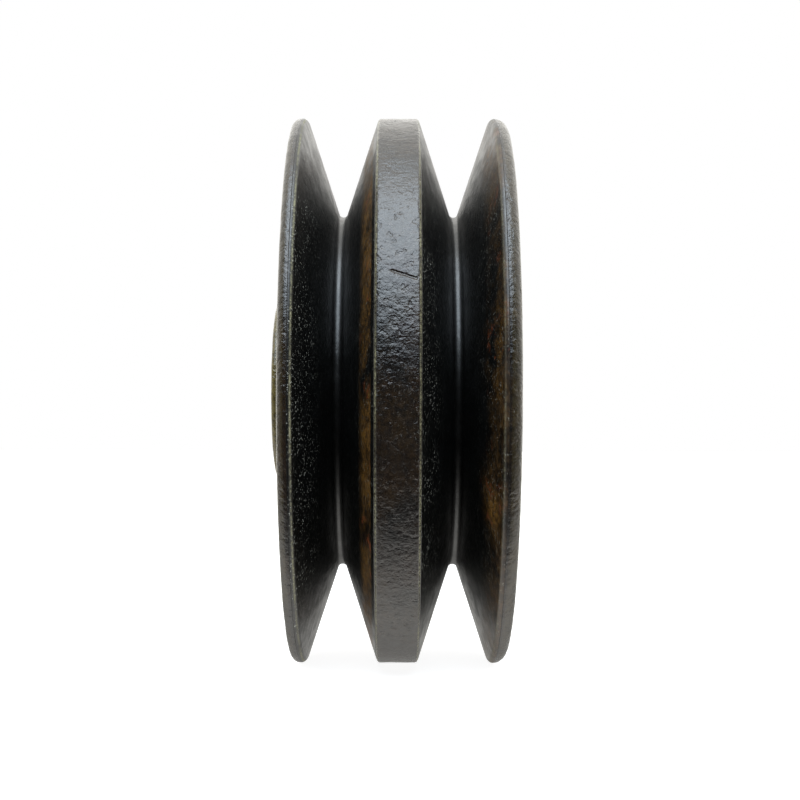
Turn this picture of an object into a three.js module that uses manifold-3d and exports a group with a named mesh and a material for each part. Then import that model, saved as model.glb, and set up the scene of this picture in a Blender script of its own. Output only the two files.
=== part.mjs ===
import * as THREE from 'three';
import Module from 'manifold-3d';

// Twin-groove V belt idler pulley. Millimetres, +Z up, turning about the +Y axis.
// The origin is on the axis, midway between the two grooves. The hub boss points to -Y.

// Rim and grooves
const RIM_RADIUS = 63.5;
const GROOVE_OFFSET = 12.8;
const GROOVE_TOP_WIDTH = 16.6;
const GROOVE_ANGLE_DEG = 36.6;
const GROOVE_ROOT_RADIUS = 40.8;
const LAND_CORNER_ROUND = 0.8;
const ROOT_ROUND = 1;

// Flange tips: outer face, crest position and the two rounding radii that meet on the crest
const LEFT_FLANGE = { face: 24.1, crest: 22.2, inner: 1.52, outer: 1.9 };
const RIGHT_FLANGE = { face: 24.8, crest: 22.05, inner: 1.31, outer: 2.75 };

// Side pockets between rim and hub
const RIM_INNER_RADIUS = 32;
const RIM_DRAFT = 0.5;
const HUB_DRAFT = 0.6;
const WEB_HALF_THICKNESS = 8;
const POCKET_ROUND = 2.4;
const RIM_MOUTH_CHAMFER = 0.6;

// Hub
const HUB_RADIUS = 20.5;
const HUB_LEFT_END = -28.5;
const HUB_RIGHT_END = 23.2;
const HUB_EDGE_ROUND = 0.9;
const HUB_MOUTH_CHAMFER = 0.6;
const HUB_WAIST_RADIUS = 13.5;

// Ball bearings, 12 x 32 x 10
const BEARING_BORE = 12;
const BEARING_OUTSIDE = 32;
const BEARING_WIDTH = 10;
const BEARING_CHAMFER = 0.5;
const LEFT_BEARING_CENTRE = -21.3;
const RIGHT_BEARING_CENTRE = 15.85;
const BALL_COUNT = 7;
const BALL_RADIUS = 2.95;
const PITCH_RADIUS = 11;
const RACE_RADIUS = 3.05;
const INNER_SHOULDER_RADIUS = 9.2;
const OUTER_SHOULDER_RADIUS = 12.9;
const CAGE_WALL = 1.5;
const CAGE_HALF_WIDTH = 3.6;
const CAGE_POCKET_RADIUS = 3.04;
const SEAL_THICKNESS = 0.8;
const SEAL_RECESS = 0.3;
const SEAL_INNER_RADIUS = 9.35;
const SEAL_OUTER_RADIUS = 12.82;

// Retaining rings
const CLIP_THICKNESS = 1.2;
const CLIP_GROOVE_RADIUS = 16.85;
const CLIP_OUTER_RADIUS = 16.72;
const CLIP_INNER_RADIUS = 14.4;
const CLIP_GAP = 7;
const CLIP_LUG_RADIUS = 1.9;
const CLIP_LUG_OFFSET = 4.6;
const CLIP_LUG_CENTRE = 13.6;
const CLIP_HOLE_RADIUS = 0.85;

// Clamped inner stack
const COLLAR_END = 28.8;
const STACK_RADIUS = 9;
const STACK_BORE_RADIUS = 6.1;
const STACK_CHAMFER = 0.4;

// Clearances between neighbours
const FIT_GAP = 0.05;
const CLIP_SIDE_GAP = 0.08;

// Facets around the axis
const RIM_FACETS = 60;
const RING_FACETS = 40;
const BALL_FACETS = 12;
const ARC_STEP_DEG = 36;

const RAD = Math.PI / 180;
const FLANK_TAN = Math.tan((GROOVE_ANGLE_DEG / 2) * RAD);
const GROOVE_HALF_TOP = GROOVE_TOP_WIDTH / 2;
const GROOVE_HALF_ROOT = GROOVE_HALF_TOP - (RIM_RADIUS - GROOVE_ROOT_RADIUS) * FLANK_TAN;
const BORE_RADIUS = BEARING_OUTSIDE / 2 + FIT_GAP;
const HALF_WIDTH = BEARING_WIDTH / 2;
const LEFT_SHOULDER = LEFT_BEARING_CENTRE + HALF_WIDTH + FIT_GAP;
const RIGHT_SHOULDER = RIGHT_BEARING_CENTRE - HALF_WIDTH - FIT_GAP;

const wasm = await Module();
wasm.setup();
const { Manifold, CrossSection } = wasm;

const finish = {
  enamel: new THREE.MeshStandardMaterial({ color: '#17191a', roughness: 0.3, metalness: 0.1 }),
  bearingSteel: new THREE.MeshStandardMaterial({ color: '#b9bcc0', roughness: 0.25, metalness: 0.95 }),
  ballSteel: new THREE.MeshStandardMaterial({ color: '#d2d4d6', roughness: 0.12, metalness: 1 }),
  cageSteel: new THREE.MeshStandardMaterial({ color: '#a39c88', roughness: 0.4, metalness: 0.85 }),
  sealRubber: new THREE.MeshStandardMaterial({ color: '#1b1b1c', roughness: 0.75, metalness: 0 }),
  turnedSteel: new THREE.MeshStandardMaterial({ color: '#9fa3a6', roughness: 0.35, metalness: 0.9 }),
  springSteel: new THREE.MeshStandardMaterial({ color: '#4b4d50', roughness: 0.45, metalness: 0.8 }),
};

// A profile is a closed loop of { r, y } corners. A corner with a radius is replaced by an arc.
function roundedLoop(corners) {
  const loop = [];
  corners.forEach((corner, i) => {
    if (!corner.round) {
      loop.push(new THREE.Vector2(corner.r, corner.y));
      return;
    }
    const at = new THREE.Vector2(corner.r, corner.y);
    const before = corners[(i + corners.length - 1) % corners.length];
    const after = corners[(i + 1) % corners.length];
    const back = new THREE.Vector2(before.r, before.y).sub(at).normalize();
    const ahead = new THREE.Vector2(after.r, after.y).sub(at).normalize();
    const angle = Math.acos(THREE.MathUtils.clamp(back.dot(ahead), -1, 1));
    const reach = corner.round / Math.tan(angle / 2);
    const bisector = back.clone().add(ahead).normalize();
    const centre = at.clone().addScaledVector(bisector, corner.round / Math.sin(angle / 2));
    const start = at.clone().addScaledVector(back, reach).sub(centre);
    const end = at.clone().addScaledVector(ahead, reach).sub(centre);
    const sweep = Math.atan2(start.cross(end), start.dot(end));
    const steps = Math.max(1, Math.ceil(Math.abs(sweep) / (ARC_STEP_DEG * RAD)));
    for (let s = 0; s <= steps; s += 1) {
      loop.push(start.clone().rotateAround(new THREE.Vector2(), (sweep * s) / steps).add(centre));
    }
  });
  return loop;
}

// Revolves a closed loop of THREE.Vector2(r, y) about the Y axis.
function revolve(loop, facets) {
  const closed = loop.concat([loop[0].clone()]);
  const area = closed.slice(1).reduce((sum, p, i) => sum + closed[i].x * p.y - p.x * closed[i].y, 0);
  const ordered = area > 0 ? closed : closed.reverse();
  return new THREE.LatheGeometry(ordered, facets);
}

function revolveCorners(corners, facets) {
  return revolve(roundedLoop(corners), facets);
}

// A plain chamfered tube between two positions on the axis
function tube(inner, outer, from, to, chamfer) {
  return revolveCorners([
    { r: inner + chamfer, y: from },
    { r: outer - chamfer, y: from },
    { r: outer, y: from + chamfer },
    { r: outer, y: to - chamfer },
    { r: outer - chamfer, y: to },
    { r: inner + chamfer, y: to },
    { r: inner, y: to - chamfer },
    { r: inner, y: from + chamfer },
  ], RING_FACETS);
}

function mesh(name, geometry, material) {
  const piece = new THREE.Mesh(geometry, material);
  piece.name = name;
  return piece;
}

function toGeometry(solid) {
  const data = solid.getMesh();
  const geometry = new THREE.BufferGeometry();
  const stride = data.numProp;
  const positions = new Float32Array((data.vertProperties.length / stride) * 3);
  for (let v = 0; v * stride < data.vertProperties.length; v += 1) {
    positions.set(data.vertProperties.subarray(v * stride, v * stride + 3), v * 3);
  }
  geometry.setAttribute('position', new THREE.BufferAttribute(positions, 3));
  geometry.setIndex(new THREE.BufferAttribute(new Uint32Array(data.triVerts), 1));
  geometry.computeVertexNormals();
  return geometry;
}

// Arc points on a flange tip, from one angle to another about a centre on the crest line
function tipArc(side, crest, radius, fromDeg, toDeg) {
  const steps = Math.ceil(Math.abs(toDeg - fromDeg) / ARC_STEP_DEG);
  return Array.from({ length: steps + 1 }, (_, s) => {
    const angle = (fromDeg + ((toDeg - fromDeg) * s) / steps) * RAD;
    const y = side * (crest - Math.cos(angle) * radius);
    return { r: RIM_RADIUS - radius + Math.sin(angle) * radius, y };
  });
}

// One flange tip and the groove inside it, walked from the outer face towards the middle land
function flangeAndGroove(side, flange) {
  const flankEnd = GROOVE_ANGLE_DEG / 2;
  const outer = tipArc(side, flange.crest, flange.outer, 180, 90);
  const inner = tipArc(side, flange.crest, flange.inner, 90, flankEnd).slice(1);
  const root = GROOVE_ROOT_RADIUS;
  return [
    ...outer,
    ...inner,
    { r: root, y: side * (GROOVE_OFFSET + GROOVE_HALF_ROOT), round: ROOT_ROUND },
    { r: root, y: side * (GROOVE_OFFSET - GROOVE_HALF_ROOT), round: ROOT_ROUND },
    { r: RIM_RADIUS, y: side * (GROOVE_OFFSET - GROOVE_HALF_TOP), round: LAND_CORNER_ROUND },
  ];
}

// Pocket wall from the flange face down to the web and out along the hub
function pocket(side, face, hubEnd) {
  return [
    { r: RIM_INNER_RADIUS + RIM_DRAFT + RIM_MOUTH_CHAMFER, y: side * face },
    { r: RIM_INNER_RADIUS + RIM_DRAFT, y: side * (face - RIM_MOUTH_CHAMFER) },
    { r: RIM_INNER_RADIUS, y: side * WEB_HALF_THICKNESS, round: POCKET_ROUND },
    { r: HUB_RADIUS + HUB_DRAFT, y: side * WEB_HALF_THICKNESS, round: POCKET_ROUND },
    { r: HUB_RADIUS, y: side * hubEnd, round: HUB_EDGE_ROUND },
  ];
}

// Bearing seat, retaining-ring groove and mouth of one hub end, walked from the mouth inwards
function seat(side, hubEnd, bearingFace, shoulder) {
  const clipStart = bearingFace + FIT_GAP;
  const clipEnd = clipStart + CLIP_THICKNESS + 2 * CLIP_SIDE_GAP;
  return [
    { r: BORE_RADIUS + HUB_MOUTH_CHAMFER, y: side * hubEnd },
    { r: BORE_RADIUS, y: side * (hubEnd - HUB_MOUTH_CHAMFER) },
    { r: BORE_RADIUS, y: side * clipEnd },
    { r: CLIP_GROOVE_RADIUS, y: side * clipEnd },
    { r: CLIP_GROOVE_RADIUS, y: side * clipStart },
    { r: BORE_RADIUS, y: side * clipStart },
    { r: BORE_RADIUS, y: side * shoulder },
    { r: HUB_WAIST_RADIUS, y: side * shoulder },
  ];
}

const LEFT_BEARING_FACE = -(LEFT_BEARING_CENTRE - HALF_WIDTH);
const RIGHT_BEARING_FACE = RIGHT_BEARING_CENTRE + HALF_WIDTH;

function sheave() {
  const left = [
    ...seat(-1, -HUB_LEFT_END, LEFT_BEARING_FACE, -LEFT_SHOULDER).reverse(),
    ...pocket(-1, LEFT_FLANGE.face, -HUB_LEFT_END).reverse(),
    ...flangeAndGroove(-1, LEFT_FLANGE),
  ];
  const right = [
    ...flangeAndGroove(1, RIGHT_FLANGE).reverse(),
    ...pocket(1, RIGHT_FLANGE.face, HUB_RIGHT_END),
    ...seat(1, HUB_RIGHT_END, RIGHT_BEARING_FACE, RIGHT_SHOULDER),
  ];
  return mesh('sheave', revolveCorners([...left, ...right], RIM_FACETS), finish.enamel);
}

// Race arc of one ring: the part of the ball track circle between the ring's two shoulders
function raceArc(centre, shoulder, towardAxis) {
  const half = Math.acos(Math.abs(PITCH_RADIUS - shoulder) / RACE_RADIUS);
  const steps = Math.ceil((2 * half) / (ARC_STEP_DEG * RAD));
  const sign = towardAxis ? -1 : 1;
  return Array.from({ length: steps + 1 }, (_, s) => {
    const angle = -half + (2 * half * s) / steps;
    const r = PITCH_RADIUS + sign * RACE_RADIUS * Math.cos(angle);
    return { r, y: centre + RACE_RADIUS * Math.sin(angle) };
  });
}

function outerRing(name, centre) {
  const outside = BEARING_OUTSIDE / 2;
  const corners = [
    { r: outside, y: centre + HALF_WIDTH - BEARING_CHAMFER },
    { r: outside - BEARING_CHAMFER, y: centre + HALF_WIDTH },
    { r: OUTER_SHOULDER_RADIUS, y: centre + HALF_WIDTH },
    ...raceArc(centre, OUTER_SHOULDER_RADIUS, false).reverse(),
    { r: OUTER_SHOULDER_RADIUS, y: centre - HALF_WIDTH },
    { r: outside - BEARING_CHAMFER, y: centre - HALF_WIDTH },
    { r: outside, y: centre - HALF_WIDTH + BEARING_CHAMFER },
  ];
  return mesh(name, revolveCorners(corners, RING_FACETS), finish.bearingSteel);
}

function innerRing(name, centre) {
  const bore = BEARING_BORE / 2;
  const corners = [
    { r: bore, y: centre - HALF_WIDTH + BEARING_CHAMFER },
    { r: bore + BEARING_CHAMFER, y: centre - HALF_WIDTH },
    { r: INNER_SHOULDER_RADIUS, y: centre - HALF_WIDTH },
    ...raceArc(centre, INNER_SHOULDER_RADIUS, true),
    { r: INNER_SHOULDER_RADIUS, y: centre + HALF_WIDTH },
    { r: bore + BEARING_CHAMFER, y: centre + HALF_WIDTH },
    { r: bore, y: centre + HALF_WIDTH - BEARING_CHAMFER },
  ];
  return mesh(name, revolveCorners(corners, RING_FACETS), finish.bearingSteel);
}

function ballAngle(index) {
  return (index * 2 * Math.PI) / BALL_COUNT;
}

// Ribbon cage: a thin ring with one round radial pocket for each ball
function cage(name, centre) {
  const outer = Manifold.cylinder(2 * CAGE_HALF_WIDTH, PITCH_RADIUS + CAGE_WALL / 2,
    PITCH_RADIUS + CAGE_WALL / 2, RING_FACETS, true);
  const inner = Manifold.cylinder(4 * CAGE_HALF_WIDTH, PITCH_RADIUS - CAGE_WALL / 2,
    PITCH_RADIUS - CAGE_WALL / 2, RING_FACETS, true);
  let ring = outer.subtract(inner);
  for (let i = 0; i < BALL_COUNT; i += 1) {
    const pocketCut = Manifold.cylinder(4 * CAGE_WALL, CAGE_POCKET_RADIUS, CAGE_POCKET_RADIUS, 2 * BALL_FACETS, true)
      .rotate([0, 90, 0])
      .translate([PITCH_RADIUS, 0, 0])
      .rotate([0, 0, ballAngle(i) / RAD]);
    ring = ring.subtract(pocketCut);
  }
  return mesh(name, toGeometry(ring.rotate([-90, 0, 0]).translate([0, centre, 0])), finish.cageSteel);
}

function ball(name, centre, index) {
  const geometry = new THREE.SphereGeometry(BALL_RADIUS, BALL_FACETS, BALL_FACETS - 4);
  const angle = ballAngle(index);
  geometry.translate(PITCH_RADIUS * Math.cos(angle), centre, -PITCH_RADIUS * Math.sin(angle));
  return mesh(name, geometry, finish.ballSteel);
}

function seal(name, centre, side) {
  const outerFace = HALF_WIDTH - SEAL_RECESS;
  const ends = [centre + side * outerFace, centre + side * (outerFace - SEAL_THICKNESS)];
  const corners = [
    { r: SEAL_INNER_RADIUS, y: Math.min(...ends) },
    { r: SEAL_OUTER_RADIUS, y: Math.min(...ends) },
    { r: SEAL_OUTER_RADIUS, y: Math.max(...ends) },
    { r: SEAL_INNER_RADIUS, y: Math.max(...ends) },
  ];
  return mesh(name, revolveCorners(corners, RING_FACETS), finish.sealRubber);
}

// Internal retaining ring: an open ring with two drilled lugs beside the gap
function retainingRing(name, side, bearingFace) {
  const band = CrossSection.circle(CLIP_OUTER_RADIUS, RING_FACETS)
    .subtract(CrossSection.circle(CLIP_INNER_RADIUS, RING_FACETS))
    .subtract(CrossSection.square([CLIP_GAP, 2 * CLIP_OUTER_RADIUS], true).translate([0, CLIP_OUTER_RADIUS]));
  let outline = band;
  for (const hand of [-1, 1]) {
    outline = outline.add(CrossSection.circle(CLIP_LUG_RADIUS, BALL_FACETS)
      .translate([hand * CLIP_LUG_OFFSET, CLIP_LUG_CENTRE]));
    outline = outline.subtract(CrossSection.circle(CLIP_HOLE_RADIUS, BALL_FACETS)
      .translate([hand * CLIP_LUG_OFFSET, CLIP_LUG_CENTRE]));
  }
  const from = bearingFace + FIT_GAP + CLIP_SIDE_GAP;
  const centre = side * (from + CLIP_THICKNESS / 2);
  const plate = outline.extrude(CLIP_THICKNESS, 0, 0, [1, 1], true).rotate([90, 0, 0]).translate([0, centre, 0]);
  return mesh(name, toGeometry(plate), finish.springSteel);
}

function bearing(label, centre) {
  const pieces = [
    outerRing(`outer_ring_${label}`, centre),
    innerRing(`inner_ring_${label}`, centre),
    cage(`cage_${label}`, centre),
  ];
  for (let i = 0; i < BALL_COUNT; i += 1) {
    pieces.push(ball(`ball_${label}_${i + 1}`, centre, i));
  }
  const outward = Math.sign(centre);
  pieces.push(seal(`seal_${label}_outer`, centre, outward));
  pieces.push(seal(`seal_${label}_inner`, centre, -outward));
  return pieces;
}

function innerStack() {
  return [
    mesh('inner_spacer', tube(STACK_BORE_RADIUS, STACK_RADIUS,
      LEFT_SHOULDER, RIGHT_SHOULDER, STACK_CHAMFER), finish.turnedSteel),
    mesh('collar_left', tube(STACK_BORE_RADIUS, STACK_RADIUS,
      -COLLAR_END, -LEFT_BEARING_FACE - FIT_GAP, STACK_CHAMFER), finish.turnedSteel),
    mesh('collar_right', tube(STACK_BORE_RADIUS, STACK_RADIUS,
      RIGHT_BEARING_FACE + FIT_GAP, COLLAR_END, STACK_CHAMFER), finish.turnedSteel),
  ];
}

const pulley = new THREE.Group();
pulley.name = 'v_belt_pulley';
pulley.add(
  sheave(),
  ...bearing('left', LEFT_BEARING_CENTRE),
  ...bearing('right', RIGHT_BEARING_CENTRE),
  ...innerStack(),
  retainingRing('retaining_ring_left', -1, LEFT_BEARING_FACE),
  retainingRing('retaining_ring_right', 1, RIGHT_BEARING_FACE),
);

export default pulley;
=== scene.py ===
import math

import bpy
import numpy as np
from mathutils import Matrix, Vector, noise


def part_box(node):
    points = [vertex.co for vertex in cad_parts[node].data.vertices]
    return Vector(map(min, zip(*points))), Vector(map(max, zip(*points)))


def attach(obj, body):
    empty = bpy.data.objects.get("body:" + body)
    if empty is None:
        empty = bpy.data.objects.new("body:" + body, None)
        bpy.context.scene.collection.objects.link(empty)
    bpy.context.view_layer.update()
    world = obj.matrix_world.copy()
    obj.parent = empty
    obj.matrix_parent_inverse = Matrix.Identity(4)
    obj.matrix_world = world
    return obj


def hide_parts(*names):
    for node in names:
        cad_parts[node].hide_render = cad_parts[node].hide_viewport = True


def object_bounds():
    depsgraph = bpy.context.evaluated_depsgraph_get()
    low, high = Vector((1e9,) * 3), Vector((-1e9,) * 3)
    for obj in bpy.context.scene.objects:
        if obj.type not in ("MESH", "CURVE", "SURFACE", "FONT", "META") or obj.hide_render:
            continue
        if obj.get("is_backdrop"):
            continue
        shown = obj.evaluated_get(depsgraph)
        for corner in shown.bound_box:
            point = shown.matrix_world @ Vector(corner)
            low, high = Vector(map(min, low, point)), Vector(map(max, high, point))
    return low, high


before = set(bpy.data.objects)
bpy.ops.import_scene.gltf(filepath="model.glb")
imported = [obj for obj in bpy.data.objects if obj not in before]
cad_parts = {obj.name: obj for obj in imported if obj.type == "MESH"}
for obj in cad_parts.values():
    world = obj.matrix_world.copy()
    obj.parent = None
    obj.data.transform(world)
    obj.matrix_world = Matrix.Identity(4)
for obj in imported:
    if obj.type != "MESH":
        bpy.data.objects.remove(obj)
CAD_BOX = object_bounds()
MM = 0.001

# ---------------------------------------------------------------- sizes, in millimetres
RIM_R = 63.5
GROOVE_Y = 12.8
GROOVE_TOP_HALF = 8.3
GROOVE_ROOT_R = 40.8
FLANK_DEG = 18.3
FLANK_TAN = math.tan(math.radians(FLANK_DEG))
GROOVE_ROOT_HALF = GROOVE_TOP_HALF - (RIM_R - GROOVE_ROOT_R) * FLANK_TAN
LAND_ROUND = 0.8
ROOT_ROUND = 1.0
FLANGES = {
    -1: dict(face=24.1, crest=22.2, inner=1.52, outer=1.9),
    1: dict(face=24.8, crest=22.05, inner=1.31, outer=2.75),
}
RIM_INNER_R = 32.0
WEB_HALF = 8.0
HUB_R = 20.5
HUB_END = {-1: 28.5, 1: 23.2}
BORE_R = 16.05
WAIST_R = 13.5
BEARING_Y = {"left": -21.3, "right": 15.85}
HALF_WIDTH = 5.0
PITCH_R = 11.0
RACE_R = 3.05
BALL_R = 2.95
BALL_COUNT = 7
CLAMP_BORE_R = 6.1
CLAMP_R = 9.0
SEAT_GAP = 0.05
CLIP_GROOVE_R = 16.85
CLIP_GROOVE_WIDTH = 1.36
POCKET_DRAFT = {"rim": 0.5, "hub": 0.6}
POCKET_ROUND = 2.4
MOUTH_CHAMFER = 0.6
HUB_EDGE_ROUND = 0.9
SHEAVE_SEGMENTS = 480
RING_SEGMENTS = 160
RUST_SPOTS = ((31.3, 19.6, 50.0), (56.9, 19.4, 8.2), (52.0, 19.0, -23.4))
SCRATCH = ((59.3, -1.2, 22.6), (59.9, 3.6, 21.0))
SKIN = 0.14          # the cast skin lies this far at most below the nominal surface


# ---------------------------------------------------------------- profiles
def rounded_loop(corners, arc_deg=7.0):
    """Closed loop of (r, y) points from corners (r, y, radius), the radius cut to what the edges allow."""
    pts = []
    n = len(corners)
    for i, (r, y, rad) in enumerate(corners):
        at = np.array([r, y])
        if rad <= 0:
            pts.append(at)
            continue
        back = np.array(corners[i - 1][:2]) - at
        ahead = np.array(corners[(i + 1) % n][:2]) - at
        lb, la = np.linalg.norm(back), np.linalg.norm(ahead)
        back, ahead = back / lb, ahead / la
        angle = math.acos(max(-1.0, min(1.0, float(back @ ahead))))
        if angle > math.pi - 1e-3:
            pts.append(at)
            continue
        rad = min(rad, 0.49 * min(lb, la) * math.tan(angle / 2))
        bis = (back + ahead) / np.linalg.norm(back + ahead)
        centre = at + bis * rad / math.sin(angle / 2)
        reach = rad / math.tan(angle / 2)
        a = at + back * reach - centre
        b = at + ahead * reach - centre
        sweep = math.atan2(a[0] * b[1] - a[1] * b[0], float(a @ b))
        steps = max(2, math.ceil(abs(sweep) / math.radians(arc_deg)))
        for s in range(steps + 1):
            t = sweep * s / steps
            c, d = math.cos(t), math.sin(t)
            pts.append(centre + np.array([c * a[0] - d * a[1], d * a[0] + c * a[1]]))
    return np.array(pts)


def resample(loop, step):
    """Adds points so that no edge of the closed loop is longer than step(point)."""
    out = []
    for a, b in zip(loop, np.roll(loop, -1, axis=0)):
        length = np.linalg.norm(b - a)
        if length < 1e-6:
            continue
        k = max(1, math.ceil(length / step((a + b) / 2)))
        out += [a + (b - a) * i / k for i in range(k)]
    return np.array(out)


def tip(side, crest, radius, a0, a1, steps):
    """Arc of a flange tip, between two angles in degrees; 90 is the crest."""
    pts = []
    for s in range(steps + 1):
        a = math.radians(a0 + (a1 - a0) * s / steps)
        pts.append((RIM_R - radius + math.sin(a) * radius, side * (crest - math.cos(a) * radius), 0))
    return pts


def flange_and_groove(side):
    f = FLANGES[side]
    root, top = GROOVE_ROOT_R, RIM_R
    return [
        *tip(side, f["crest"], f["outer"], 180, 90, 14),
        *tip(side, f["crest"], f["inner"], 90, FLANK_DEG, 12)[1:],
        (root, side * (GROOVE_Y + GROOVE_ROOT_HALF), ROOT_ROUND),
        (root, side * (GROOVE_Y - GROOVE_ROOT_HALF), ROOT_ROUND),
        (top, side * (GROOVE_Y - GROOVE_TOP_HALF), LAND_ROUND),
    ]


def pocket(side):
    face, end = FLANGES[side]["face"], HUB_END[side]
    return [
        (RIM_INNER_R + POCKET_DRAFT["rim"] + MOUTH_CHAMFER, side * face, 0.4),
        (RIM_INNER_R + POCKET_DRAFT["rim"], side * (face - MOUTH_CHAMFER), 0.4),
        (RIM_INNER_R, side * WEB_HALF, POCKET_ROUND),
        (HUB_R + POCKET_DRAFT["hub"], side * WEB_HALF, POCKET_ROUND),
        (HUB_R, side * end, HUB_EDGE_ROUND),
    ]


def seat(side, face, shoulder):
    end = HUB_END[side]
    c0 = face + SEAT_GAP
    c1 = c0 + CLIP_GROOVE_WIDTH
    return [
        (BORE_R + MOUTH_CHAMFER, side * end, 0.12),
        (BORE_R, side * (end - MOUTH_CHAMFER), 0.12),
        (BORE_R, side * c1, 0.04),
        (CLIP_GROOVE_R, side * c1, 0.04),
        (CLIP_GROOVE_R, side * c0, 0.04),
        (BORE_R, side * c0, 0.04),
        (BORE_R, side * shoulder, 0.1),
        (WAIST_R, side * shoulder, 0.2),
    ]


def sheave_loop():
    left_face = -(BEARING_Y["left"] - HALF_WIDTH)
    right_face = BEARING_Y["right"] + HALF_WIDTH
    left_shoulder = -(BEARING_Y["left"] + HALF_WIDTH + SEAT_GAP)
    right_shoulder = BEARING_Y["right"] - HALF_WIDTH - SEAT_GAP
    left = seat(-1, left_face, left_shoulder)[::-1] + pocket(-1)[::-1] + flange_and_groove(-1)
    right = flange_and_groove(1)[::-1] + pocket(1) + seat(1, right_face, right_shoulder)
    return rounded_loop(left + right)


# ---------------------------------------------------------------- meshes
def lathe(name, loop, segments):
    """A closed loop of (r, y) in millimetres turned about +Y, as an object with outward faces."""
    x, y = loop[:, 0], loop[:, 1]
    area = np.sum(x * np.roll(y, -1) - np.roll(x, -1) * y)
    if area < 0:
        loop = loop[::-1]
    n = len(loop)
    ang = np.arange(segments) * 2 * math.pi / segments
    co = np.empty((segments, n, 3))
    co[:, :, 0] = np.cos(ang)[:, None] * loop[:, 0][None]
    co[:, :, 1] = loop[:, 1][None]
    co[:, :, 2] = np.sin(ang)[:, None] * loop[:, 0][None]
    co *= MM
    i, j = np.meshgrid(np.arange(segments), np.arange(n), indexing="ij")
    i2, j2 = (i + 1) % segments, (j + 1) % n
    faces = np.stack([i * n + j, i * n + j2, i2 * n + j2, i2 * n + j], -1).reshape(-1, 4)
    mesh = bpy.data.meshes.new(name)
    mesh.from_pydata(co.reshape(-1, 3).tolist(), [], faces[:, ::-1].tolist())
    mesh.polygons.foreach_set("use_smooth", [True] * len(mesh.polygons))
    mesh.update()
    obj = bpy.data.objects.new(name, mesh)
    bpy.context.scene.collection.objects.link(obj)
    return obj, loop


def bump01(x, centre, width):
    return np.exp(-((x - centre) / width) ** 2)


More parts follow.
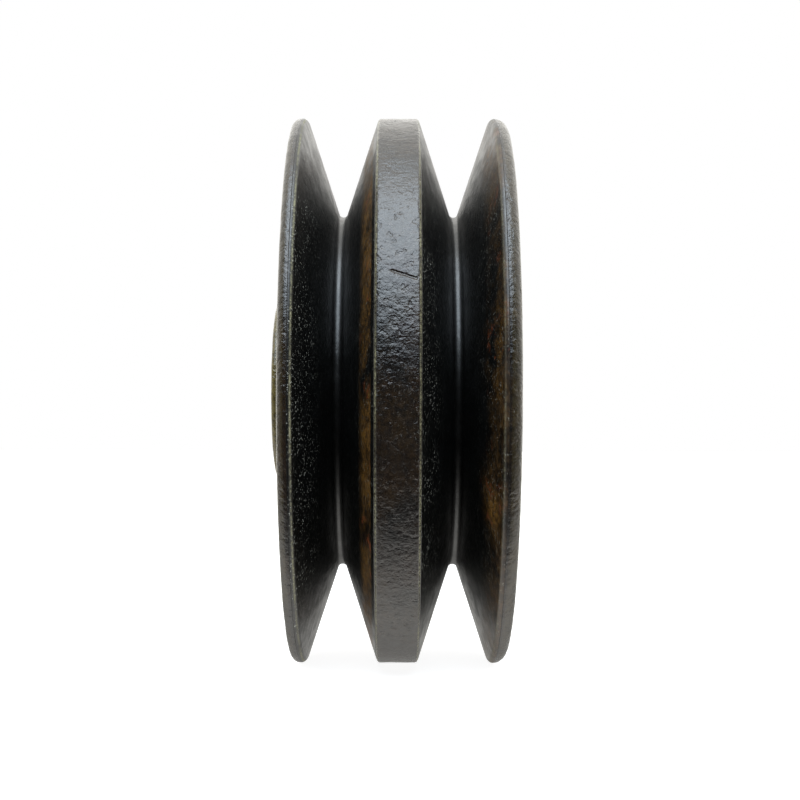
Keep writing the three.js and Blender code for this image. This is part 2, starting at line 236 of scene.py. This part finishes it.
def make_sheave():
    """The casting, with uneven skin in its mesh and, in point attributes, its wear zones and the zones of its
    painted reflection and painted glints.
    """
    def step(p):
        return 0.55 if p[0] > 39.5 and abs(p[1]) < 24.3 else 1.3

    loop = resample(sheave_loop(), step)
    segments = SHEAVE_SEGMENTS
    obj, loop = lathe("sheave_casting", loop, segments)
    mesh = obj.data
    n = len(loop)
    r, y = loop[:, 0], loop[:, 1]
    ay = np.abs(y)
    outside = r > 39.0
    land = outside & (ay < 4.72) & (r > 62.6)
    flank = outside & (ay > 3.4) & (ay < 22.0) & ~land
    # rubbed edges: the land's corners and the groove side of each flange tip; an olive tint painted on the long
    # boss and the flange shoulders as a painted warm reflection
    edge = np.where(outside, bump01(ay, 4.56, 0.17) * (r > 62.6), 0.0)
    olive_reflection = np.where((r < 21.5) & (y < -21), np.clip((r - 19.2) / 0.9, 0, 1), 0.0)
    for side in (-1, 1):
        f = FLANGES[side]
        s = side * y
        tip_line = (0.7 - 0.36 * side) * bump01(s, f["crest"] - 0.95, 0.17) * (r > 61.6)
        rim_reflection = 0.4 * bump01(s, f["face"] - 0.12, 0.22) * (r > 61.2)
        edge = np.maximum(edge, np.where(s > 15, tip_line, 0))
        # olive tint painted on the flange outer faces and their edges: a painted reflection
        olive_reflection = np.maximum(olive_reflection, np.where((s > f["crest"] + 0.5) & (r > 56), 0.12, 0))
        olive_reflection = np.maximum(olive_reflection, np.where(s > 15, rim_reflection, 0))
    bore = (r < BORE_R + 0.9) & (ay < 28.6)
    # cast skin: how rough each part of the profile is
    rough = np.where(land, 1.0, np.where(flank, 0.12, 0.8))
    rough = np.where(bore, 0.0, rough)
    # lumps lie below the nominal skin, so the piece never leaves the CAD box
    tangent = np.roll(loop, -1, axis=0) - np.roll(loop, 1, axis=0)
    tangent /= np.maximum(np.linalg.norm(tangent, axis=1), 1e-9)[:, None]
    normal = np.stack([tangent[:, 1], -tangent[:, 0]], 1)
    co = np.empty(len(mesh.vertices) * 3)
    mesh.vertices.foreach_get("co", co)
    co = co.reshape(segments, n, 3)
    for k in range(segments):
        a = 2 * math.pi * k / segments
        ca, sa = math.cos(a), math.sin(a)
        for j in range(n):
            if rough[j] <= 0:
                continue
            p = co[k, j]
            q = Vector((p[0] * 210, p[1] * 330, p[2] * 210))
            v = noise.noise(q) * 0.6 + noise.noise(q * 2.3) * 0.4
            d = -(0.5 + 0.5 * v) * SKIN * rough[j] * MM
            p[0] += normal[j, 0] * ca * d
            p[2] += normal[j, 0] * sa * d
            p[1] += normal[j, 1] * d
    mesh.vertices.foreach_set("co", co.reshape(-1))
    # brown stripe beside the land on the long boss's side, brown band inside the far flange, rust spots on it
    stripe_width = np.clip((r - 52.6) / 3.2, 0, 1) * np.clip((60.9 - r) / 0.5, 0, 1)
    stripe = np.where(flank & (y < 0) & (ay < 9), stripe_width, 0)
    band = np.where(flank & (y > 16), 0.36 * np.clip((r - 53.5) / 6.0, 0, 1), 0)
    rust = np.tile(np.maximum(stripe, band), (segments, 1))
    for spot in RUST_SPOTS:
        away = (co / MM - np.array(spot)) / np.array([5.0, 1.9, 5.0])
        rust += 1.2 * np.exp(-(away ** 2).sum(-1)) * flank
    # loose grit on the outer part of the flanks; its pale specks also stand in as painted glints
    dust_and_glint = np.where(flank, np.clip((r - 47) / 11, 0, 1), 0.0)
    dust_and_glint *= np.where(((y > 0) & (ay < 12)) | (y < -14), 1.0, 0.45)
    dust_and_glint = np.maximum(dust_and_glint, 0.12 * land)
    for name, values in (("rust", rust), ("dust_and_glint", dust_and_glint), ("olive_reflection", olive_reflection), ("edge", edge),
                         ("flank", flank.astype(float)), ("bore", bore.astype(float))):
        if values.ndim == 1:
            values = np.tile(values, segments)
        layer = mesh.attributes.new(name, "FLOAT", "POINT")
        layer.data.foreach_set("value", values.reshape(-1).astype(np.float32))
    mesh.update()
    return obj


def ring_profile(inner, outer, y0, y1, chamfer):
    return rounded_loop([
        (inner, y0, chamfer), (outer, y0, chamfer), (outer, y1, chamfer), (inner, y1, chamfer)])


def race_profile(centre, bore, shoulder, toward_axis):
    """A bearing ring whose ball groove is an arc about the pitch circle."""
    half = math.acos(abs(PITCH_R - shoulder) / RACE_R)
    sign = -1 if toward_axis else 1
    arc = []
    for s in range(17):
        a = -half + 2 * half * s / 16
        arc.append((PITCH_R + sign * RACE_R * math.cos(a), centre + RACE_R * math.sin(a), 0))
    corners = [(bore, centre - HALF_WIDTH, 0.45), (shoulder, centre - HALF_WIDTH, 0.12),
               *arc, (shoulder, centre + HALF_WIDTH, 0.12), (bore, centre + HALF_WIDTH, 0.45)]
    return rounded_loop(corners)


# ---------------------------------------------------------------- node helpers
class Shader:
    """A short way to write a node tree."""

    def __init__(self, name):
        self.mat = bpy.data.materials.new(name)
        self.mat.use_nodes = True
        self.tree = self.mat.node_tree
        self.bsdf = self.tree.nodes["Principled BSDF"]
        self.coord = self.tree.nodes.new("ShaderNodeTexCoord").outputs["Object"]

    def node(self, kind, **props):
        node = self.tree.nodes.new(kind)
        for key, value in props.items():
            setattr(node, key, value)
        return node

    def link(self, a, b):
        self.tree.links.new(a, b)

    def put(self, socket, value):
        if isinstance(value, bpy.types.NodeSocket):
            self.link(value, socket)
        else:
            socket.default_value = value

    def math(self, op, a, b=0.0, clamp=False):
        node = self.node("ShaderNodeMath", operation=op, use_clamp=clamp)
        self.put(node.inputs[0], a)
        self.put(node.inputs[1], b)
        return node.outputs[0]

    def noise(self, scale, detail=3.0, stretch=(1, 1, 1), rough=0.5):
        mapping = self.node("ShaderNodeMapping")
        mapping.inputs["Scale"].default_value = stretch
        self.link(self.coord, mapping.inputs["Vector"])
        node = self.node("ShaderNodeTexNoise")
        self.link(mapping.outputs[0], node.inputs["Vector"])
        node.inputs["Scale"].default_value = scale
        node.inputs["Detail"].default_value = detail
        node.inputs["Roughness"].default_value = rough
        return node.outputs["Fac"]

    def ramp(self, value, low, high, to_low=0.0, to_high=1.0):
        node = self.node("ShaderNodeMapRange", interpolation_type="SMOOTHSTEP")
        self.link(value, node.inputs["Value"])
        for key, v in (("From Min", low), ("From Max", high), ("To Min", to_low), ("To Max", to_high)):
            node.inputs[key].default_value = v
        return node.outputs[0]

    def mix(self, fac, a, b):
        node = self.node("ShaderNodeMix", data_type="RGBA")
        self.put(node.inputs["Factor"], fac)
        self.put(node.inputs[6], a)
        self.put(node.inputs[7], b)
        return node.outputs[2]

    def attribute(self, name):
        return self.node("ShaderNodeAttribute", attribute_name=name).outputs["Fac"]

    def radius(self):
        """Distance from the spin axis, and place along it."""
        split = self.node("ShaderNodeSeparateXYZ")
        self.link(self.coord, split.inputs[0])
        xx = self.math("MULTIPLY", split.outputs[0], split.outputs[0])
        zz = self.math("MULTIPLY", split.outputs[2], split.outputs[2])
        return self.math("SQRT", self.math("ADD", xx, zz)), split.outputs[1]

    def segment_distance(self, a, b):
        """Distance from the surface point to the line piece from a to b."""
        def vec(op, p, q):
            node = self.node("ShaderNodeVectorMath", operation=op)
            for socket, value in zip(node.inputs, (p, q)):
                if isinstance(value, bpy.types.NodeSocket):
                    self.link(value, socket)
                else:
                    socket.default_value = value
            return node

        run = [q - p for p, q in zip(a, b)]
        from_a = vec("SUBTRACT", self.coord, a).outputs["Vector"]
        along = vec("DOT_PRODUCT", from_a, [c / sum(r * r for r in run) for c in run]).outputs["Value"]
        share = self.math("ADD", along, 0.0, clamp=True)
        reach = self.node("ShaderNodeCombineXYZ")
        for socket, c in zip(reach.inputs, run):
            self.link(self.math("MULTIPLY", share, c), socket)
        return vec("DISTANCE", from_a, reach.outputs[0]).outputs["Value"]

    def bump(self, height, distance, strength=1.0, below=None):
        node = self.node("ShaderNodeBump")
        node.inputs["Strength"].default_value = strength
        node.inputs["Distance"].default_value = distance
        self.link(height, node.inputs["Height"])
        if below is not None:
            self.link(below, node.inputs["Normal"])
        return node.outputs[0]


def rgba(r, g, b):
    return (r, g, b, 1.0)


def enamel():
    s = Shader("black_enamel")
    names = ("edge", "flank", "bore", "rust", "dust_and_glint", "olive_reflection")
    edge, flank, bore, rusty, dust_and_glint_mask, olive_reflection = (s.attribute(n) for n in names)
    radius, _ = s.radius()
    open_skin = s.math("SUBTRACT", 1.0, flank)
    patchy = s.ramp(s.noise(70, 4), 0.42, 0.66)
    tone = s.mix(patchy, rgba(0.0026, 0.0027, 0.0028), rgba(0.0052, 0.0036, 0.0028))
    mottle = s.math("MULTIPLY", s.ramp(s.noise(1100, 5, rough=0.7), 0.45, 0.7), open_skin)
    tone = s.mix(mottle, tone, rgba(0.0085, 0.0062, 0.005))
    tone = s.mix(flank, tone, rgba(0.0014, 0.0014, 0.0013))
    # olive-brown rust, strongest where the casting shows it and faint elsewhere
    patch = s.ramp(s.noise(85, 6, rough=0.68), 0.34, 0.6)
    spread = s.math("ADD", rusty, s.math("MULTIPLY", open_skin, 0.08))
    rust = s.math("MULTIPLY", patch, spread, clamp=True)
    grain = s.ramp(s.noise(900, 4, rough=0.7), 0.35, 0.65)
    tone = s.mix(rust, tone, s.mix(grain, rgba(0.02, 0.0085, 0.001), rgba(0.105, 0.05, 0.006)))
    flake = s.ramp(s.noise(210, 5, rough=0.7), 0.58, 0.66)
    flake = s.math("MULTIPLY", flake, s.math("MULTIPLY", rusty, 0.7))
    tone = s.mix(flake, tone, rgba(0.11, 0.027, 0.008))
    # painted warm reflection: an olive tint painted on the boss and the flange shoulders
    reflection_tint = s.math("MULTIPLY", olive_reflection, s.ramp(s.noise(700, 5, rough=0.75), 0.35, 0.6, 0.35, 1.0))
    tone = s.mix(reflection_tint, tone, rgba(0.09, 0.07, 0.02))
    # pale specks, mostly in the grooves: partly dust, partly painted glints
    where = s.ramp(s.noise(120, 3), 0.36, 0.6, 0.1, 1.0)
    speck_and_glint = s.math("MULTIPLY", s.ramp(s.noise(2100, 1.5), 0.625, 0.69), where)
    speck_and_glint = s.math("MULTIPLY", speck_and_glint, dust_and_glint_mask)
    tone = s.mix(speck_and_glint, tone, rgba(0.19, 0.19, 0.165))
    # enamel rubbed through to metal along the edges
    worn = s.math("MULTIPLY", edge, s.ramp(s.noise(1300, 4, rough=0.75), 0.42, 0.58, 0.15, 1.0), clamp=True)
    worn = s.math("MULTIPLY", worn, s.ramp(s.noise(60, 2), 0.36, 0.56, 0.3, 1.0))
    tone = s.mix(worn, tone, rgba(0.16, 0.15, 0.085))
    tone = s.mix(bore, tone, rgba(0.16, 0.16, 0.155))
    s.link(tone, s.bsdf.inputs["Base Color"])
    rough = s.ramp(s.noise(300, 4), 0.35, 0.7, 0.17, 0.27)
    rough = s.math("ADD", rough, s.math("MULTIPLY", flank, 0.15))
    rough = s.math("ADD", rough, s.math("MULTIPLY", rust, 0.12))
    rough = s.math("ADD", rough, s.math("MULTIPLY", worn, 0.3))
    s.link(rough, s.bsdf.inputs["Roughness"])
    s.bsdf.inputs["Metallic"].default_value = 0.0
    s.bsdf.inputs["Specular IOR Level"].default_value = 0.5
    smooth = s.math("SUBTRACT", 1.0, s.math("MULTIPLY", flank, 0.85))
    peel = s.math("MULTIPLY", s.noise(1250, 4, rough=0.62), smooth)
    pits = s.math("MULTIPLY", s.ramp(s.noise(620, 3), 0.3, 0.44), s.math("MULTIPLY", smooth, 0.5))
    lines = s.node("ShaderNodeTexWave", wave_type="BANDS", bands_direction="X")
    joined = s.node("ShaderNodeCombineXYZ")
    s.link(radius, joined.inputs[0])
    s.link(joined.outputs[0], lines.inputs["Vector"])
    lines.inputs["Scale"].default_value = 420
    lines.inputs["Distortion"].default_value = 1.5
    turned = s.math("MULTIPLY", lines.outputs["Fac"], s.math("MULTIPLY", flank, 0.08))
    height = s.math("ADD", s.math("ADD", peel, pits), turned)
    ends = [[c * MM for c in end] for end in SCRATCH]
    scratch = s.ramp(s.segment_distance(*ends), 0.0, 0.0005, -1.4, 0.0)
    height = s.math("ADD", height, scratch)
    wrinkle = s.math("MULTIPLY", s.noise(330, 3, stretch=(1, 0.8, 1.3), rough=0.6), smooth)
    s.link(s.bump(height, 0.0002, 0.9, s.bump(wrinkle, 0.00045, 0.6)), s.bsdf.inputs["Normal"])
    return s.mat


def steel(name, colour, rough, grain, grain_scale, dirt=(0.03, 0.026, 0.02)):
    s = Shader(name)
    radius, along = s.radius()
    tone = s.mix(s.ramp(s.noise(70, 5, rough=0.65), 0.5, 0.8), rgba(*colour), rgba(*dirt))
    tone = s.mix(s.ramp(s.noise(900, 2), 0.55, 0.8, 0, 0.3), tone, rgba(*[c * 0.6 for c in colour]))
    s.link(tone, s.bsdf.inputs["Base Color"])
    s.bsdf.inputs["Metallic"].default_value = 0.9
    s.link(s.ramp(s.noise(160, 4), 0.3, 0.7, rough, rough + 0.16), s.bsdf.inputs["Roughness"])
    joined = s.node("ShaderNodeCombineXYZ")
    s.link(radius, joined.inputs[0])
    s.link(along, joined.inputs[1])
    fine = s.node("ShaderNodeTexNoise")
    s.link(joined.outputs[0], fine.inputs["Vector"])
    fine.inputs["Scale"].default_value = grain_scale
    fine.inputs["Detail"].default_value = 3
    s.link(s.bump(fine.outputs["Fac"], grain), s.bsdf.inputs["Normal"])
    return s.mat


def rubber():
    s = Shader("seal_rubber")
    tone = s.mix(s.ramp(s.noise(90, 4), 0.45, 0.75), rgba(0.012, 0.012, 0.0125), rgba(0.04, 0.037, 0.032))
    s.link(tone, s.bsdf.inputs["Base Color"])
    s.link(s.ramp(s.noise(300, 3), 0.3, 0.7, 0.5, 0.75), s.bsdf.inputs["Roughness"])
    s.link(s.bump(s.noise(1400, 3), 0.00008), s.bsdf.inputs["Normal"])
    return s.mat


MATERIALS = {
    "black_enamel": enamel(),
    "bearing_steel": steel("bearing_steel", (0.5, 0.51, 0.52), 0.2, 0.00002, 2600),
    "ball_steel": steel("ball_steel", (0.66, 0.67, 0.68), 0.08, 0.000004, 1500, (0.4, 0.4, 0.4)),
    "cage_steel": steel("cage_steel", (0.38, 0.35, 0.28), 0.34, 0.00004, 1200),
    "turned_steel": steel("turned_steel", (0.36, 0.365, 0.37), 0.28, 0.00005, 2200),
    "spring_steel": steel("spring_steel", (0.07, 0.07, 0.075), 0.34, 0.00005, 1700),
    "seal_rubber": rubber(),
}


# ---------------------------------------------------------------- pieces
def dress(obj, body, slot, node=None):
    obj.data.materials.clear()
    obj.data.materials.append(MATERIALS[slot])
    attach(obj, body)
    if node:
        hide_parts(node)
    return obj


dress(make_sheave(), "pulley", "black_enamel", "sheave")


def ring_piece(node, loop, body, slot, segments=RING_SEGMENTS):
    obj, _ = lathe(node + "_fine", loop, segments)
    return dress(obj, body, slot, node)


def node_span(node):
    low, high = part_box(node)
    return low[1] / MM, high[1] / MM


for label, centre in BEARING_Y.items():
    ring_piece(f"inner_ring_{label}", race_profile(centre, 6.0, 9.2, True), "inner_stack", "bearing_steel")
    ring_piece(f"outer_ring_{label}", race_profile(centre, 16.0, 12.9, False), "pulley", "bearing_steel")
    for end in ("outer", "inner"):
        node = f"seal_{label}_{end}"
        y0, y1 = node_span(node)
        outward = 1 if (y0 + y1) / 2 > centre else -1
        back, front = (y0, y1) if outward > 0 else (y1, y0)
        dish = front - outward * 0.22
        loop = rounded_loop([
            (9.35, back, 0.1), (12.82, back, 0.1), (12.82, front, 0.15), (12.1, front, 0.15),
            (11.8, dish, 0.15), (10.5, dish, 0.15), (10.1, front, 0.15), (9.35, front, 0.15)])
        ring_piece(node, loop, "pulley", "seal_rubber")
    for i in range(1, BALL_COUNT + 1):
        node = f"ball_{label}_{i}"
        low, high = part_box(node)
        mid = (low + high) / 2
        bpy.ops.mesh.primitive_ico_sphere_add(subdivisions=4, radius=BALL_R * MM, location=(0, 0, 0))
        obj = bpy.context.active_object
        obj.name = obj.data.name = node + "_fine"
        angle = (i - 1) * 2 * math.pi / BALL_COUNT
        place = Vector((PITCH_R * math.cos(angle), centre, -PITCH_R * math.sin(angle))) * MM
        if (place - mid).length > 0.0003:
            raise RuntimeError(f"{node} isn't where it should be")
        for v in obj.data.vertices:
            v.co += place
        for p in obj.data.polygons:
            p.use_smooth = True
        dress(obj, f"cage_set_{label}", "ball_steel", node)

for node in ("inner_spacer", "collar_left", "collar_right"):
    y0, y1 = node_span(node)
    ring_piece(node, ring_profile(CLAMP_BORE_R, CLAMP_R, y0, y1, 0.4), "inner_stack", "turned_steel")

for node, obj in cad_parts.items():
    if obj.hide_render:
        continue
    slot = "cage_steel" if node.startswith("cage") else "spring_steel"
    obj.data.materials.clear()
    obj.data.materials.append(MATERIALS[slot])

# ---------------------------------------------------------------- stage, light, camera
LOW_ROOM_CUT = 0.72
SIDE_ROOM_CUT = 0.8
FLOOR_HALF = 3.0
FLOOR_Z = CAD_BOX[0][2] - 0.0002


def make_stage():
    mesh = bpy.data.meshes.new("floor")
    h = FLOOR_HALF
    corners = [(-h, -h, FLOOR_Z), (h, -h, FLOOR_Z), (h, h, FLOOR_Z), (-h, h, FLOOR_Z)]
    mesh.from_pydata(corners, [], [(0, 1, 2, 3)])
    obj = bpy.data.objects.new("floor", mesh)
    bpy.context.scene.collection.objects.link(obj)
    mat = bpy.data.materials.new("floor")
    mat.use_nodes = True
    bsdf = mat.node_tree.nodes["Principled BSDF"]
    bsdf.inputs["Base Color"].default_value = rgba(0.4, 0.4, 0.4)
    bsdf.inputs["Roughness"].default_value = 0.9
    bsdf.inputs["Specular IOR Level"].default_value = 0.0
    bsdf.inputs["Emission Color"].default_value = rgba(1, 1, 1)
    bsdf.inputs["Emission Strength"].default_value = 0.92
    obj.data.materials.append(mat)
    obj.visible_glossy = False
    obj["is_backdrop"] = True


def make_world():
    """White where the camera looks, and a grey room, bright behind the object, in reflections."""
    world = bpy.data.worlds.new("studio")
    bpy.context.scene.world = world
    world.use_nodes = True
    t = world.node_tree
    t.nodes.clear()
    out = t.nodes.new("ShaderNodeOutputWorld")
    seen = t.nodes.new("ShaderNodeBackground")
    seen.inputs["Color"].default_value = rgba(1, 1, 1)
    seen.inputs["Strength"].default_value = 1.0
    room = t.nodes.new("ShaderNodeBackground")
    room.inputs["Color"].default_value = rgba(1.0, 0.985, 0.94)
    coord = t.nodes.new("ShaderNodeTexCoord")
    split = t.nodes.new("ShaderNodeSeparateXYZ")
    t.links.new(coord.outputs["Generated"], split.inputs[0])
    rng = t.nodes.new("ShaderNodeMapRange")
    rng.interpolation_type = "SMOOTHSTEP"
    t.links.new(split.outputs[0], rng.inputs["Value"])
    for key, v in (("From Min", 0.1), ("From Max", 0.62), ("To Min", 1.7), ("To Max", 0.02)):
        rng.inputs[key].default_value = v

    def fade(socket, start, end):
        node = t.nodes.new("ShaderNodeMapRange")
        node.interpolation_type = "SMOOTHSTEP"
        t.links.new(socket, node.inputs["Value"])
        node.inputs["From Min"].default_value = start
        node.inputs["From Max"].default_value = end
        return node.outputs[0]

    def times(a, b, op="MULTIPLY"):
        node = t.nodes.new("ShaderNodeMath")
        node.operation = op
        for socket, value in zip(node.inputs, (a, b)):
            if isinstance(value, bpy.types.NodeSocket):
                t.links.new(value, socket)
            else:
                socket.default_value = value
        return node.outputs[0]

    # the room is darker low behind the object, and low beside it
    behind = fade(split.outputs[0], -0.3, -0.8)
    low = fade(split.outputs[2], -0.02, -0.3)
    cut = times(times(behind, low), LOW_ROOM_CUT)
    beside = fade(times(split.outputs[1], 0.0, "ABSOLUTE"), 0.8, 0.95)
    side_cut = times(times(beside, fade(split.outputs[2], 0.32, -0.2)), SIDE_ROOM_CUT)
    kept = times(times(1.0, cut, "SUBTRACT"), times(1.0, side_cut, "SUBTRACT"))
    t.links.new(times(rng.outputs[0], kept), room.inputs["Strength"])
    mix = t.nodes.new("ShaderNodeMixShader")
    path = t.nodes.new("ShaderNodeLightPath")
    t.links.new(path.outputs["Is Camera Ray"], mix.inputs[0])
    t.links.new(room.outputs[0], mix.inputs[1])
    t.links.new(seen.outputs[0], mix.inputs[2])
    t.links.new(mix.outputs[0], out.inputs["Surface"])


def area_light(name, place, size_x, size_y, watts, colour):
    data = bpy.data.lights.new(name, "AREA")
    data.shape = "RECTANGLE"
    data.size, data.size_y = size_x, size_y
    data.energy = watts
    data.color = colour
    obj = bpy.data.objects.new(name, data)
    obj.location = place
    obj.rotation_euler = (-Vector(place)).to_track_quat("-Z", "Y").to_euler()
    bpy.context.scene.collection.objects.link(obj)


def polar(distance, elevation_deg, side=0.0):
    e = math.radians(elevation_deg)
    return (distance * math.cos(e), side, distance * math.sin(e))


make_stage()
make_world()
area_light("window", polar(0.9, 60), 0.9, 1.0, 22, (0.79, 0.9, 1.0))

CAMERA_DISTANCE = 0.368
FOCAL_PX = 1553.3
FRAME_PX = 800
SENSOR_MM = 36.0
ROLL_DEG = 0.15
ELEVATION_DEG = -1.3
cam_data = bpy.data.cameras.new("camera")
cam_data.sensor_width = SENSOR_MM
cam_data.lens = FOCAL_PX / FRAME_PX * SENSOR_MM
cam_data.shift_x = 0.0026
cam_data.shift_y = -0.0116
cam_data.clip_start = 0.01
cam = bpy.data.objects.new("camera", cam_data)
tilt = math.radians(ELEVATION_DEG)
cam.location = (CAMERA_DISTANCE * math.cos(tilt), 0, CAMERA_DISTANCE * math.sin(tilt))
cam.rotation_euler = (math.radians(90) - tilt, 0, math.radians(90))
bpy.context.scene.collection.objects.link(cam)
cam.rotation_euler.rotate_axis("Z", math.radians(ROLL_DEG))
bpy.context.scene.camera = cam
bpy.context.scene.view_settings.view_transform = "Standard"

low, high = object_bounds()
